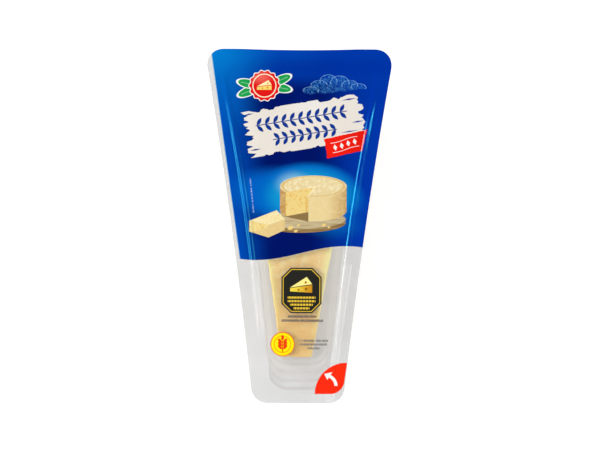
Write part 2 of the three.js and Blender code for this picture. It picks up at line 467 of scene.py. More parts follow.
class Graph:
    """A material's nodes, built up term by term.

    A flat shape is a depth in millimetres that is above 0 inside the shape.
    """

    def __init__(self, name: str, middle: tuple[float, float] = (0.0, 0.0)) -> None:
        """Starts a material.

        Args:
            name: The material's name.
            middle: The spot on the pack's plan that places are measured from.
        """
        self.material = bpy.data.materials.new(name)
        self.material.use_nodes = True
        self.nodes = self.material.node_tree.nodes
        self.nodes.clear()
        in_metres = self._add("TexCoord", {}, "Object")
        scaled = self._add("VectorMath", {0: in_metres, "Scale": 1.0 / MM}, operation="SCALE")
        self.place = self._add("VectorMath", {0: scaled, 1: (-middle[0], -middle[1], 0.0)})
        self.x, self.y, self.z = self.split(self.place)

    def _add(self, kind: str, inputs: dict[int | str, object], out: int | str = 0, **settings: object) -> Socket:
        """Adds a node.

        Args:
            kind: Blender's name of the node, without what all names start with.
            inputs: What its inputs get: terms, sockets, display colours or plain values.
            out: Which output is wanted.
            **settings: The node's settings.

        Returns:
            The output's socket.
        """
        node = self.nodes.new(f"ShaderNode{kind}")
        for name, value in settings.items():
            setattr(node, name, value)
        for name, value in inputs.items():
            value = value.socket if isinstance(value, Term) else value
            if isinstance(value, Socket):
                self.material.node_tree.links.new(value, node.inputs[name])
            else:
                node.inputs[name].default_value = colour(value) if isinstance(value, str) else value
        return node.outputs[out]

    def split(self, vector: Socket) -> tuple[Term, Term, Term]:
        """The three parts of a vector, as terms."""
        return tuple(Term(self, out) for out in self._add("SeparateXYZ", {0: vector}).node.outputs)

    def vector(self, x: Term | float, y: Term | float, z: Term | float = 0.0) -> Socket:
        """A vector of three terms."""
        return self._add("CombineXYZ", {0: x, 1: y, 2: z})

    def math(self, operation: str, *values: Term | float) -> Term:
        """One step of arithmetic, by Blender's name of the step."""
        return Term(self, self._add("Math", dict(enumerate(values)), operation=operation))

    def lesser(self, *terms: Term | float) -> Term:
        """The least of several terms, which is where all of their shapes meet."""
        return reduce(partial(self.math, "MINIMUM"), terms)

    def greater(self, *terms: Term | float) -> Term:
        """The greatest of several terms, which is where any of their shapes is."""
        return reduce(partial(self.math, "MAXIMUM"), terms)

    def rise(self, term: Term, low: float, high: float) -> Term:
        """Rises smoothly from 0 to 1 as a term goes from low to high."""
        inputs = {"Value": term, "From Min": low, "From Max": high}
        return Term(self, self._add("MapRange", inputs, interpolation_type="SMOOTHSTEP"))

    def edge(self, inside: Term, soft: float = 0.14) -> Term:
        """A mask that is 1 where a depth inside a shape is above 0, with a soft edge."""
        return self.rise(inside, -soft, soft)

    def local(self, x: float, y: float, turn: float = 0.0, wide: float = 1.0, high: float = 1.0) -> Socket:
        """The place as seen from a spot on the pack's plan.

        Args:
            x: The spot's place across the pack.
            y: The spot's place along the pack.
            turn: How far the spot's own axes are turned, in degrees, anticlockwise from above.
            wide: The length that counts as one along its first axis.
            high: The length that counts as one along its second axis.

        Returns:
            The vector's socket.
        """
        turned = (0.0, 0.0, math.radians(turn))
        inputs = {"Vector": self.place, "Location": (x, y, 0.0), "Rotation": turned, "Scale": (wide, high, 1.0)}
        seen = self._add("Mapping", inputs, vector_type="TEXTURE")
        return self._add("VectorMath", {0: seen, 1: (1.0, 1.0, 0.0)}, operation="MULTIPLY")

    def length(self, vector: Socket) -> Term:
        """The length of a vector."""
        return Term(self, self._add("VectorMath", {0: vector}, "Value", operation="LENGTH"))

    def noise(self, scale: float, detail: float = 2.0, vector: Socket | None = None) -> Term:
        """A cloudy pattern from about 0 to 1, with so many clouds in a millimetre."""
        inputs = {"Vector": vector or self.place, "Scale": scale, "Detail": detail}
        return Term(self, self._add("TexNoise", inputs, "Fac"))

    def cells(self, scale: float) -> Term:
        """The distance to the nearest of many scattered spots, in cells."""
        return Term(self, self._add("TexVoronoi", {"Vector": self.place, "Scale": scale}, "Distance"))

    def glow(self, x: float, y: float, wide: float, high: float, turn: float = 0.0) -> Term:
        """A soft blob that is 1 at its middle and fades to 0 at its edge."""
        return self.rise(1.0 - self.length(self.local(x, y, turn, wide, high)), 0.0, 1.0)

    def disc(self, x: float, y: float, radius: float) -> Term:
        """A round disc."""
        return radius - self.length(self.local(x, y))

    def discs(self, x: float, y: float, *spots: tuple[float, float, float]) -> Term:
        """Several round discs, each given by its place from a spot and its radius."""
        return self.greater(*[self.disc(x + right, y + up, radius) for right, up, radius in spots])

    def oval(self, x: float, y: float, wide: float, high: float, turn: float = 0.0) -> Term:
        """An ellipse, given its two half axes and its turn in degrees."""
        return (1.0 - self.length(self.local(x, y, turn, wide, high))) * min(wide, high)

    def bar(self, x: float, y: float, half_wide: float, half_high: float, turn: float = 0.0) -> Term:
        """A rectangle, given its half sizes and its turn in degrees."""
        across, up, _ = self.split(self.local(x, y, turn))
        return self.lesser(half_wide - abs(across), half_high - abs(up))

    def polygon(self, *corners: tuple[float, float], at: tuple[float, float] = (0.0, 0.0)) -> Term:
        """A polygon that bulges everywhere.

        Args:
            *corners: Its corners, anticlockwise.
            at: The spot that they are measured from.

        Returns:
            The depth inside it.
        """
        sides = []
        placed = [(x + at[0], y + at[1]) for x, y in corners]
        for (x0, y0), (x1, y1) in zip(placed, [*placed[1:], placed[0]]):
            length = math.hypot(x1 - x0, y1 - y0)
            along_x, along_y = (x1 - x0) / length, (y1 - y0) / length
            sides.append(self.y * along_x - self.x * along_y + (along_y * x0 - along_x * y0))
        return self.lesser(*sides)

    def blend(self, share: Term | float, under: object, over: object) -> Socket:
        """Mixes two colours, plain or worked out, by the share of the upper one."""
        return self._add("Mix", {0: share, 6: under, 7: over}, 2, data_type="RGBA")

    def layered(self, ground: object, *layers: tuple[Term | float, object]) -> Socket:
        """Blends colours over a ground, one after the other, each given by its share and its colour."""
        return reduce(lambda under, layer: self.blend(layer[0], under, layer[1]), layers, ground)

    def bump(self, height: Term, depth: float) -> Socket:
        """A normal that follows a relief from about 0 to 1, which is so many millimetres deep."""
        return self._add("Bump", {"Height": height, "Distance": depth * MM})

    def facing(self, blend: float) -> Term:
        """How much the surface is seen edge on, from 0 to 1."""
        return Term(self, self._add("LayerWeight", {"Blend": blend}, "Facing"))

    def surface(self, **values: object) -> bpy.types.Material:
        """Closes the material with a Principled shader.

        Args:
            **values: The shader's inputs, named with underscores for spaces.

        Returns:
            The finished material.
        """
        shader = self._add("BsdfPrincipled", {name.replace("_", " "): value for name, value in values.items()})
        output = self.nodes.new("ShaderNodeOutputMaterial")
        self.material.node_tree.links.new(shader, output.inputs["Surface"])
        return self.material


# ----------------------------------------------------------------------------------------------------------------
# The print
# ----------------------------------------------------------------------------------------------------------------


class FilmFace(Enum):
    """The three kinds of face of the film, by their material slot."""

    WIDE_END = 0
    NARROW_END = 1
    UNDERSIDE = 2


class FilmPrint(Graph):
    """What is printed on the film, each ink laid over the one before. Places are in millimetres."""

    middle: tuple[float, float] = (0.48, 0.18)
    split_y: float = -23.7
    wave_y: float = -16.8
    wave_height: float = 4.4
    wave_half_length: float = 56.0
    bare_strip_x: float = -36.65
    bare_strip_y: float = -20.6
    bare_strip_lean: float = 0.1437
    ground_soft: float = 0.18
    label: tuple[float, float] = (1.5, -39.8)
    seal: tuple[float, float, float] = (-10.0, -73.0, 7.5)
    navy: str = "010A5F"
    deep_blue: str = "0131A2"
    # paler blues for the left side and the top left corner: partly the print's own, partly painted light from the
    # left
    left_blue_and_light: str = "0047AE"
    corner_blue_and_light: str = "047CCB"
    sky_blue: str = "1094CC"
    pale_blue: str = "A6CCDF"
    off_white: str = "E7E2DC"
    white: str = "F4F4F0"
    red: str = "EE1A08"
    green: str = "1E9A4A"
    gold: str = "E9C33C"

    def __init__(self, form: PackForm, face: FilmFace, bare: str) -> None:
        """Prints one kind of face.

        Args:
            form: The pack's plan.
            face: Which faces they are.
            bare: The colour of the unprinted film's haze.
        """
        super().__init__(f"film_{face.name.lower()}", self.middle)
        self.colour: object = bare
        self.cover: Term | float = 0.0
        slope = (form.wide_half - form.narrow_half) / (2.0 * form.half_length)
        self.half_width = (self.y + form.half_length) * slope + form.narrow_half
        swing = self.math("SINE", (self.x - 1.0) * (math.pi / self.wave_half_length))
        self.past_wave = self.y - (swing * self.wave_height + self.wave_y)
        self.past_strip = self.x + (self.y - self.bare_strip_y) * self.bare_strip_lean - self.bare_strip_x
        motifs = {
            FilmFace.WIDE_END: (
                self._blue,
                self._halo,
                self._clouds,
                self._patch,
                self._banner,
                self._badge,
                self._board,
                self._wheel,
                self._wedge,
                self._side_line,
            ),
            FilmFace.NARROW_END: (self._painted_bead_highlight, self._tag, self._small_print, self._seal, self._tab),
            FilmFace.UNDERSIDE: (self._backing,),
        }
        for motif in motifs[face]:
            motif()

    def tint(self, mask: Term, ink: object, strength: float = 1.0) -> None:
        """Colours what is already printed, without covering bare film."""
        self.colour = self.blend(mask if strength == 1.0 else mask * strength, self.colour, ink)

    def lay(self, mask: Term, ink: object, strength: float = 1.0) -> None:
        """Lays one ink.

        Args:
            mask: Where it goes, from 0 to 1.
            ink: Its colour, plain or worked out.
            strength: How much it hides.
        """
        mask = mask if strength == 1.0 else mask * strength
        self.tint(mask, ink)
        self.cover = self.greater(self.cover, mask)

    def fill(self, inside: Term, ink: object, strength: float = 1.0, soft: float = 0.14) -> None:
        """Lays one ink over a shape, given the depth inside it."""
        self.lay(self.edge(inside, soft), ink, strength)

    def _blue(self) -> None:
        """The blue ground: darkest inside, and paler to the sides, the wide end and its left corner."""
        self.lay(self.edge(0.2 - abs(self.past_wave + 0.25)) * self.edge(self.past_strip), self.white, 0.45)
        off_middle = self.math("DIVIDE", self.x + 3.0, self.half_width)
        corner = self.rise(1.0 - self.length(self.local(-60.0, 112.0, -8.0, 52.0, 42.0)), 0.0, 0.95)
        ground = self.layered(
            self.navy,
            (self.rise(off_middle, 0.2, 0.9), self.deep_blue),
            # paler to the left: partly the print's gradient, partly painted light from the left
            (self.rise(-off_middle, 0.3, 0.9), self.left_blue_and_light),
            # painted shading of the seal's inner edge: the ground is paler over the seal at the wide end and steps
            # darker where it ends
            (self.rise(self.y, 83.0, 94.0) * 0.8, "0036A4"),
            (self.rise(self.y, 96.0, 109.0) * 0.9, "0042AE"),
            # paler top left corner: partly the print's gradient, partly painted light from the left
            (corner * 0.94, self.corner_blue_and_light),
            (self.glow(-43.0, 76.0, 22.0, 24.0, -8.0) * 0.22, self.corner_blue_and_light),
            (self.rise(self.x, -8.0, 24.0) * self.rise(self.y, 86.0, 100.0) * 0.5, "002498"),
            (self.rise(self.noise(0.045, 1.0), 0.5, 0.85) * 0.15, self.deep_blue),
        )
        self.fill(self.lesser(self.past_wave, self.past_strip), ground, soft=self.ground_soft)
        self.tint(self.edge(0.25 - abs(self.past_strip - 0.1)) * self.edge(self.past_wave), "59B4E4", 0.7)

    def _halo(self) -> None:
        """The light behind the cheeses, and the shade under them."""
        printed = self.edge(self.lesser(self.past_wave, self.past_strip), self.ground_soft)
        far = self.length(self.local(-2.0, 18.0, -7.0, 49.0, 20.5))
        spread = self.length(self.local(6.0, 18.8, 0.0, 31.0, 19.3))
        for share, ink, strength in (
            (self.rise(far, 1.0, 0.55), "025FC0", 0.9),
            (self.rise(spread, 1.14, 0.88), "0264BC", 0.95),
            (self.rise(spread, 1.02, 0.55), self.sky_blue, 0.95),
            (self.rise(self.glow(-4.0, 25.6, 15.5, 11.5), 0.0, 0.95), self.pale_blue, 0.55),
            (self.rise(self.glow(-4.0, -4.0, 38.0, 8.0, 2.0), 0.0, 0.6), self.navy, 0.75),
            (self.glow(22.0, 0.5, 24.0, 11.0), "026EC2", 0.55),
        ):
            self.tint(share * printed, ink, strength)

    def _clouds(self) -> None:
        """A faint drawing of a bank of clouds."""
        hatch = self.noise(1.1, 3.0, self.vector(self.x * 1.6 + self.y * 1.1, self.y * 0.5))
        ragged = (self.noise(0.55, 2.0) - 0.5) * 1.5
        puffs, arcs = [self.oval(21.0, 84.6, 17.0, 3.4)], []
        for x, y, wide, high in (
            (6.6, 83.4, 4.6, 2.4),
            (11.8, 86.0, 5.2, 3.8),
            (17.4, 89.2, 5.2, 4.2),
            (24.4, 88.2, 5.8, 4.4),
            (30.6, 86.8, 4.8, 3.2),
            (36.0, 85.6, 4.6, 2.4),
        ):
            puffs.append(self.oval(x, y, wide, high) + ragged * 0.4)
            arcs.append(self.lesser(0.17 - abs(puffs[-1]), self.y - y + 0.8))
        body = self.lesser(self.greater(*puffs), self.y - self.x * 0.13 - 79.6)
        self.tint(self.rise(body + ragged, -0.4, 0.8) * self.rise(hatch, 0.44, 0.6), "3C84C8", 0.66)
        self.tint(self.edge(self.greater(*arcs)) * self.rise(hatch, 0.3, 0.55), "86C0EA", 0.62)

    def _patch(self) -> None:
        """The pale patch of broad brush strokes, with two rows of leaves on it."""
        along, up, _ = self.split(self.local(2.6, 61.8, 9.6))
        streak = self.noise(1.0, 1.0, self.vector(along * 0.03, up * 0.26, 3.0))
        fringe = self.noise(1.0, 1.0, self.vector(along * 0.05, up * 0.5, 7.0))
        torn = self.rise(streak, 0.38, 0.62) * 4.4 + self.rise(fringe, 0.42, 0.66) * 2.2
        length = 37.9 - torn * (1.0 - self.rise(along, -10.0, 10.0) * 0.45)
        rough = self.noise(0.14, 4.0, self.vector(along, up * 0.15, 5.0))
        height = 14.4 - self.rise(rough, 0.45, 0.7) * 1.8
        gaps = [
            thick - abs(up - lift) - abs(along - middle) * (thick / half)
            for middle, lift, half, thick in (
                (30.0, 11.6, 4.6, 0.5),
                (33.0, -2.8, 3.8, 0.5),
                (27.0, -8.0, 6.0, 0.4),
                (-32.6, 12.4, 3.2, 0.45),
                (-32.0, -9.8, 3.6, 0.5),
            )
        ]
        corner = (48.6 - self.greater(along, 0.0) - abs(up) * 1.1) * 0.67
        body = self.lesser(length - abs(along), height - abs(up), corner, -self.greater(*gaps))
        warm = self.rise(self.noise(0.03, 0.0), 0.35, 0.65)
        self.fill(body, self.blend(warm, self.off_white, "E4DCD2"), soft=0.16)
        upper = self._leaves(along + 1.0, up - 4.7, 28.5, 4.4, 5.18)
        lower = self._leaves(-(along + 0.4), up + 5.4, 20.0, 4.1, 5.0)
        self.fill(self.greater(upper, lower), "12338A", soft=0.12)

    def _leaves(self, along: Term, up: Term, half_length: float, half_height: float, cell: float) -> Term:
        """A straight spray of pointed leaves, set in pairs along a stem.

        Args:
            along: The place along the stem, from its middle.
            up: The place across the stem.
            half_length: Half the stem's length.
            half_height: How far the leaves reach from the stem.
            cell: The distance from one pair to the next.

        Returns:
            The depth inside the spray.
        """
        lean = math.radians(52.0)
        leaf_half = half_height / math.sin(lean) / 2.0
        place = self.math("FLOORED_MODULO", along + half_length, cell) - 0.15 * cell
        run = place * math.cos(lean) + abs(up) * math.sin(lean) - leaf_half
        side = abs(up) * math.cos(lean) - place * math.sin(lean)
        share = run * (1.0 / leaf_half)
        leaf = 1.15 - share * share * 1.15 - abs(side)
        return self.lesser(self.greater(leaf, 0.28 - abs(up)), half_length - abs(along))

    def _banner(self) -> None:
        """The red ragged banner, with a row of small white diamonds on it."""
        pitch, half_row = 4.2, 8.4
        along, up, _ = self.split(self.local(27.85, 50.3, 13.0))
        ragged = (self.noise(0.5, 2.0, self.vector(along * 0.8, up, 11.0)) - 0.5) * 2.0
        right, left = 12.3 + up * 0.52 - along, 12.3 - up * 0.08 + along
        body = self.lesser(right + ragged, left + ragged, 6.0 - abs(up) + ragged * 0.5)
        self.fill(body, self.blend(self.rise(along, -10.0, 14.0) * 0.5, self.red, "D80A00"))
        fold = self.math("PINGPONG", along + 100.5 * pitch, pitch / 2.0)
        swing = abs(up - self.math("SINE", along * 0.3) * 0.5)
        diamond = 1.0 - fold * (1.0 / 1.2) - swing * (1.0 / 1.9)
        rule = 0.16 - abs(swing - 3.0)
        self.fill(self.lesser(self.greater(diamond, rule), half_row - abs(along)), self.white, 0.95, 0.12)

    def _badge(self) -> None:
        """A scalloped red rosette with a cream ring and a wedge of cheese, between green leaves."""
        x, y = at = (-22.0, 86.4)
        for side, lift, turn in ((-1.0, -2.6, 22.0), (-1.0, 2.4, -12.0), (1.0, -2.6, -10.0), (1.0, 2.4, 24.0)):
            spot = (x + side * 10.2, y + lift + side * 1.2)
            leaf = self.oval(*spot, 6.2, 2.5, turn)
            self.fill(leaf + 0.5, self.white)
            self.fill(leaf, self.green)
            self.fill(self.bar(*spot, 4.4, 0.14, turn), "A8DDB4", 0.8, 0.1)
        radius = self.length(self.local(x, y))
        lobes = self.math("COSINE", self.math("ARCTAN2", self.y - y, self.x - x) * 14.0) * 0.45
        rim = 9.0 + lobes - radius
        self.fill(rim + 0.55, self.white)
        self.fill(rim, self.blend(self.glow(x - 2.0, y + 5.0, 9.0, 6.0) * 0.55, "DC1210", "F58070"))
        self.fill(0.32 - abs(radius - 7.1), "F6E9C8")
        self.fill(self.polygon((-4.6, -2.6), (4.4, -2.6), (4.4, 0.2), (-4.6, -0.9), at=at), "F3D36A")
        self.fill(self.polygon((-4.6, -0.5), (4.4, 0.6), (2.4, 3.4), at=at), "FBEBAF")
        self.fill(self.discs(*at, (1.8, -1.2, 0.65), (-1.2, -1.7, 0.45), (2.0, 1.4, 0.5)), "D79A2C", soft=0.1)

    def _board(self) -> None:
        """An oval wooden board, with its grain: its edge, and its top."""
        grain = self.rise(self.noise(1.0, 3.0, self.vector(self.x * 0.06, self.y * 1.5, 2.0)), 0.35, 0.65)
        for y, high, dark, light in ((1.4, 5.6, "7F6338", "A88A5A"), (3.6, 5.4, "AE966C", "CEBF98")):
            self.fill(self.oval(3.0, y, 25.5, high, 1.5), self.blend(grain, dark, light))

    def _wheel(self) -> None:
        """A low wheel of cheese from which a piece has been cut."""
        x, base, top, wide, high = 8.5, 9.5, 24.5, 20.5, 6.6
        mottle = self.noise(0.5, 3.0)
        drum = self.lesser(wide - abs(self.x - x), self.y - base, top - self.y)
        roundness = self.rise(abs(self.x - x - 2.0), 4.0, wide + 3.0)
        rind = self.layered("E6CE94", (roundness, "BE8E48"), (self.rise(mottle, 0.42, 0.7) * 0.35, "ECDCAA"))
        self.fill(self.greater(self.oval(x, base, wide, high), drum), rind)
        face = self.oval(x, top, wide, high)
        self.fill(face, self.blend(self.rise(mottle, 0.4, 0.7), "E4CE98", "EEE0B6"))
        self.fill(0.28 - abs(face - 0.5), "D9B36C", 0.8)
        cut = self.blend(self.rise(self.noise(0.9, 2.0), 0.55, 0.68) * 0.8, "EBCF84", "E0A42C")
        self.fill(self.polygon((x - 17.2, 5.6), (x - 3.0, 2.6), (x - 3.0, 9.4), (x - 17.2, 8.0)), "8A7146")
        low = self.polygon((x - 17.0, 5.8), (x - 3.0, 8.6), (x - 3.0, 18.4), (x - 17.0, 20.8))
        peak = self.polygon((x - 17.0, 20.6), (x - 3.0, 18.0), (x + 1.5, top))
        self.fill(self.greater(low, peak), cut)
        lip = self.edge(0.3 - abs(peak - 0.2)) * self.rise(self.x, x - 4.5, x - 2.5)
        self.lay(lip, "F4E8C0", 0.8)
        shadow = self.lesser(1.2 - abs(self.x - x + 4.2), self.y - 8.0, 18.6 - self.y)
        self.lay(self.rise(shadow, 0.0, 1.2), "D9A24A", 0.55)

    def _wedge(self) -> None:
        """The piece that was cut, lying in front, and some crumbs."""
        flecks = self.rise(self.noise(0.8, 3.0), 0.5, 0.66)
        side = self.polygon((-31.0, -3.6), (-19.0, -7.2), (-19.0, 0.4), (-31.0, 3.0))
        self.fill(side, self.blend(flecks * 0.7, "EBD48C", "DFAC44"))
        end = self.polygon((-19.0, -7.2), (-9.0, -2.6), (-9.0, 4.2), (-19.0, 0.4))
        foot = self.polygon((-31.0, -3.6), (-19.0, -7.2), (-8.8, -2.4), (-8.8, 3.0), (-19.0, -0.6), (-31.0, 2.6))
        self.fill(self.greater(end, foot), self.blend(flecks * 0.3, "E2C78A", "D2A454"))
        top = self.polygon((-31.0, 3.0), (-19.0, 0.4), (-9.0, 4.2), (-14.0, 9.6))
        self.fill(top, self.blend(flecks * 0.4, "F0E0AA", "E8C05E"))
        crumbs = ((-5.5, -1.2, 1.5), (-2.2, -3.2, 1.0), (-0.6, 0.4, 0.8), (15.0, 0.6, 1.1), (18.2, -0.8, 0.7))
        for x, y, size in crumbs:
            self.fill(self.oval(x, y, size * 1.2, size * 0.8, 20.0), "EACB7C")

    def _side_line(self) -> None:
        """A very fine dotted line that stands at the left."""
        along, across, _ = self.split(self.local(-29.4, 18.5, 96.0))
        dots = self.noise(2.2, 1.0, self.vector(along, 0.0, 4.0))
        body = self.edge(self.lesser(0.4 - abs(across), 10.5 - abs(along)), 0.2)
        self.tint(body * self.rise(dots, 0.42, 0.56), "B9CFE8", 0.6)

    def _painted_bead_highlight(self) -> None:
        """A painted highlight: a pale line along the bead on the right side of the seal, where it catches the light,
        and a faint painted sheen inside it.
        """
        inside = 31.67 + (self.y + 27.2) * 0.132 - self.x
        # the pale line of painted highlight along the bead
        line = self.edge(0.45 - abs(inside), 0.4) * 0.45
        # a faint band of painted sheen inside that line
        haze = self.rise(inside, -0.4, 0.6) * self.rise(inside, 5.0, 3.0) * 0.2
        pale = self.greater(line, haze)
        self.tint(self.rise(pale, 0.0, 0.02), self.white)
        self.cover = self.greater(self.cover, pale)

    def _label_depth(self) -> Term:
        """The depth inside the label, an upright rectangle with cut corners."""
        across, up = abs(self.x - self.label[0]), abs(self.y - self.label[1])
        return self.lesser(12.4 - across, 14.0 - up, (20.6 - across - up) * 0.7071)

    def _tag(self) -> None:
        """A dark label with a gold outline, a wedge of cheese and gold rules."""
        x, y = self.label
        body = self._label_depth()
        self.fill(body, "24231F")
        self.fill(0.22 - abs(body - 1.1), self.gold)
        side = self.polygon((-7.0, -0.6), (6.6, -1.4), (6.6, 3.4), (-7.0, 1.4), at=self.label)
        self.fill(side, self.blend(self.rise(self.x, x - 7.0, x + 7.0), "F2D848", "C98A1C"))
        self.fill(self.polygon((-7.0, 1.8), (6.6, 3.9), (3.2, 8.4), at=self.label), "F6E98C")
        self.fill(self.discs(x, y, (2.8, 0.9, 0.9), (-1.8, 0.3, 0.6), (2.6, 5.0, 0.7)), "9A6614")
        ticks = self.math("PINGPONG", self.x - x + 100.0, 0.9) - 0.2
        for drop, half in ((4.4, 8.6), (6.6, 8.6), (8.8, 7.0), (11.0, 5.0)):
            self.fill(self.lesser(self.bar(x, y - drop, half, 0.62), ticks), self.gold, soft=0.12)

    def _small_print(self) -> None:
        """Short rules of small dark marks: two under the label and three beside the seal."""
        marks = self.noise(1.5, 2.0, self.vector(self.x, self.math("FLOOR", self.y * 0.6) * 5.0))
        for low, ink, strength, rows in (
            (0.26, "4E3A24", 0.82, ((2.0, -55.9, 9.0, 0.75), (2.0, -58.4, 13.0, 0.8))),
            (0.3, "56504A", 0.78, ((9.2, -70.8, 8.8, 0.7), (9.1, -73.1, 8.5, 0.7), (9.1, -75.4, 3.8, 0.7))),
        ):
            rules = self.edge(self.greater(*[self.bar(*row) for row in rows]), 0.3)
            self.lay(rules * self.rise(marks, low, low + 0.2), ink, strength)

    def _seal(self) -> None:
        """A yellow disc with an orange rim and an ear of wheat."""
        x, y, _ = self.seal
        disc = self.disc(*self.seal)
        self.fill(disc, "F06414")
        self.fill(disc - 0.55, "FFE60A")
        self.fill(0.25 - abs(self.disc(x, y, 5.1)), "F29A12")
        ear = [self.oval(x, y + 4.0, 0.85, 1.7), self.bar(x, y - 1.6, 0.28, 3.6)]
        for side in (-1.0, 1.0):
            ear += [self.oval(x + side * 1.6, y + up, 1.75, 0.82, side * 48.0) for up in (2.1, 0.2, -1.7)]
        self.fill(self.greater(*ear), "E8380C")

    def _tab(self) -> None:
        """The red corner that the film is peeled by, with a bent arrow."""
        foot, margin, corner = -103.7, 1.5, 7.4
        past_side = self.greater(self.x - self.half_width + (margin + corner), 0.0)
        past_foot = self.greater(foot + corner - self.y, 0.0)
        rounded = corner - self.length(self.vector(past_side, past_foot))
        self.fill(self.lesser(rounded, self.disc(29.3, foot, 19.3)), "FA2A0C")
        stem = self.lesser(0.95 - abs(self.disc(16.5, -98.8, 6.6)), self.y + 98.6, self.x - 18.6)
        head = self.polygon((15.8, -91.3), (17.7, -94.9), (20.8, -90.2))
        self.fill(self.greater(stem, head), self.white)

    def _backing(self) -> None:
        """The pale back of the print, as it shows from the inside."""
        ground = self.lesser(self.past_wave, self.past_strip)
        cloud = self.rise(self.noise(0.2, 2.0), 0.3, 0.7)
        spots = self.greater(ground, self._label_depth(), self.disc(*self.seal))
        self.fill(spots, self.blend(cloud, "B9C3D6", "C9D1E0"), soft=self.ground_soft)


# ----------------------------------------------------------------------------------------------------------------
# Finishes
# ----------------------------------------------------------------------------------------------------------------


@dataclass(frozen=True)
class ClearPlastic:
    """Clear plastic with a little haze, which gets whiter where it is seen edge on."""

    name: str = "clear_plastic"
    tone: str = "9C9C9B"
    # a warmer tone for the deep part: painted reflection of the cheese's warm light
    deep_painted_bounce_tone: str = "A2A19C"
    # painted shade: a darker tone where the walls are seen edge on, so that the steep walls and ledges read as dark
    # lines
    edge_shade_tone: str = "8E8E8C"
    # painted shade: a darker tone over the narrow end
    foot_shade_tone: str = "7C7C7A"
    haze: float = 0.232
    deep_haze: float = -0.032
    ledge_haze: float = 0.05
    edge_haze: float = 0.26
    edge_blend: float = 0.5
    deep_z: tuple[float, float] = (28.0, 12.0)
    ledge_z: tuple[float, float] = (28.8, 24.0)
    ledge_y: tuple[float, float] = (-74.0, -92.0)
    foot_y: tuple[float, float] = (-84.0, -96.0)
    roughness: float = 0.12
    wrinkle: float = 0.05
    coat: float = 0.3

    def material(self) -> bpy.types.Material:
        """Makes the material.

        Returns:
            The material.
        """
        graph = Graph(self.name)
        cloud = graph.noise(0.06, 3.0)
        facing = graph.facing(self.edge_blend)
        cover = self.haze + (cloud - 0.5) * 0.05 + graph.math("POWER", facing, 3.0) * self.edge_haze
        deep = graph.rise(graph.z, *self.deep_z)
        ledges = graph.rise(graph.z, *self.ledge_z) * graph.rise(graph.y, *self.ledge_y)
        foot = graph.rise(graph.y, *self.foot_y)
        # painted shade on the steep walls, darker still at the narrow end
        steep_shade_tone = graph.blend(foot, self.edge_shade_tone, self.foot_shade_tone)
        # painted shade over the narrow end; the deep part's warmer tone is a painted reflection of the cheese
        tone = graph.layered(self.tone, (deep, self.deep_painted_bounce_tone), (foot, self.foot_shade_tone))
        draw_lines = graph.noise(1.0, 3.0, graph.vector(graph.x * 0.25, graph.y * 0.05, graph.z * 0.5))
        return graph.surface(
            Base_Color=graph.blend(graph.rise(facing, 0.1, 0.6), tone, steep_shade_tone),
            Roughness=self.roughness + (cloud - 0.5) * 0.08,
            IOR=1.5,
            Normal=graph.bump(draw_lines, self.wrinkle),
            Alpha=graph.math("MINIMUM", cover + deep * self.deep_haze + ledges * self.ledge_haze, 1.0),
            Coat_Weight=self.coat,
            Coat_Roughness=0.05,
            Coat_IOR=1.6,
        )


@dataclass(frozen=True)
class PrintedFilm:
    """The lid's film: clear where it is bare, and with opaque glossy inks where it is printed."""

    form: PackForm
    haze: float = 0.055
    tone: str = "B4B4B4"
    blue_gloss: str = "46FAFF"
    roughness: float = 0.12
    slack_depth: float = 0.5
    coat: float = 0.3

    def material(self, face: FilmFace) -> bpy.types.Material:
        """Makes the material of one kind of face.

        Args:
            face: Which faces it is for.

        Returns:
            The material.
        """
        film = FilmPrint(self.form, face, self.tone)
        wide_end = face is FilmFace.WIDE_END
        slack = film.noise(0.05, 2.0, film.vector(film.x, film.y * 0.35))
        fine = film.noise(0.6, 2.0)
        clear = self.haze + (slack - 0.5) * 0.04 + film.math("POWER", film.facing(0.5), 6.0) * 0.9
        return film.surface(
            Base_Color=film.colour,
            Roughness=self.roughness + (fine - 0.5) * 0.05 + film.cover * (0.0 if wide_end else 0.2),
            IOR=1.45,
            Specular_IOR_Level=0.5 if wide_end else 0.2,
            Specular_Tint=self.blue_gloss if wide_end else "FFFFFF",
            Normal=film.bump(slack * 0.8 + fine * 0.05, self.slack_depth),
            Alpha=film.math("MINIMUM", film.greater(film.cover, clear), 1.0),
            Coat_Weight=self.coat - film.cover * self.coat,
            Coat_Roughness=0.05,
            Coat_IOR=1.6,
        )


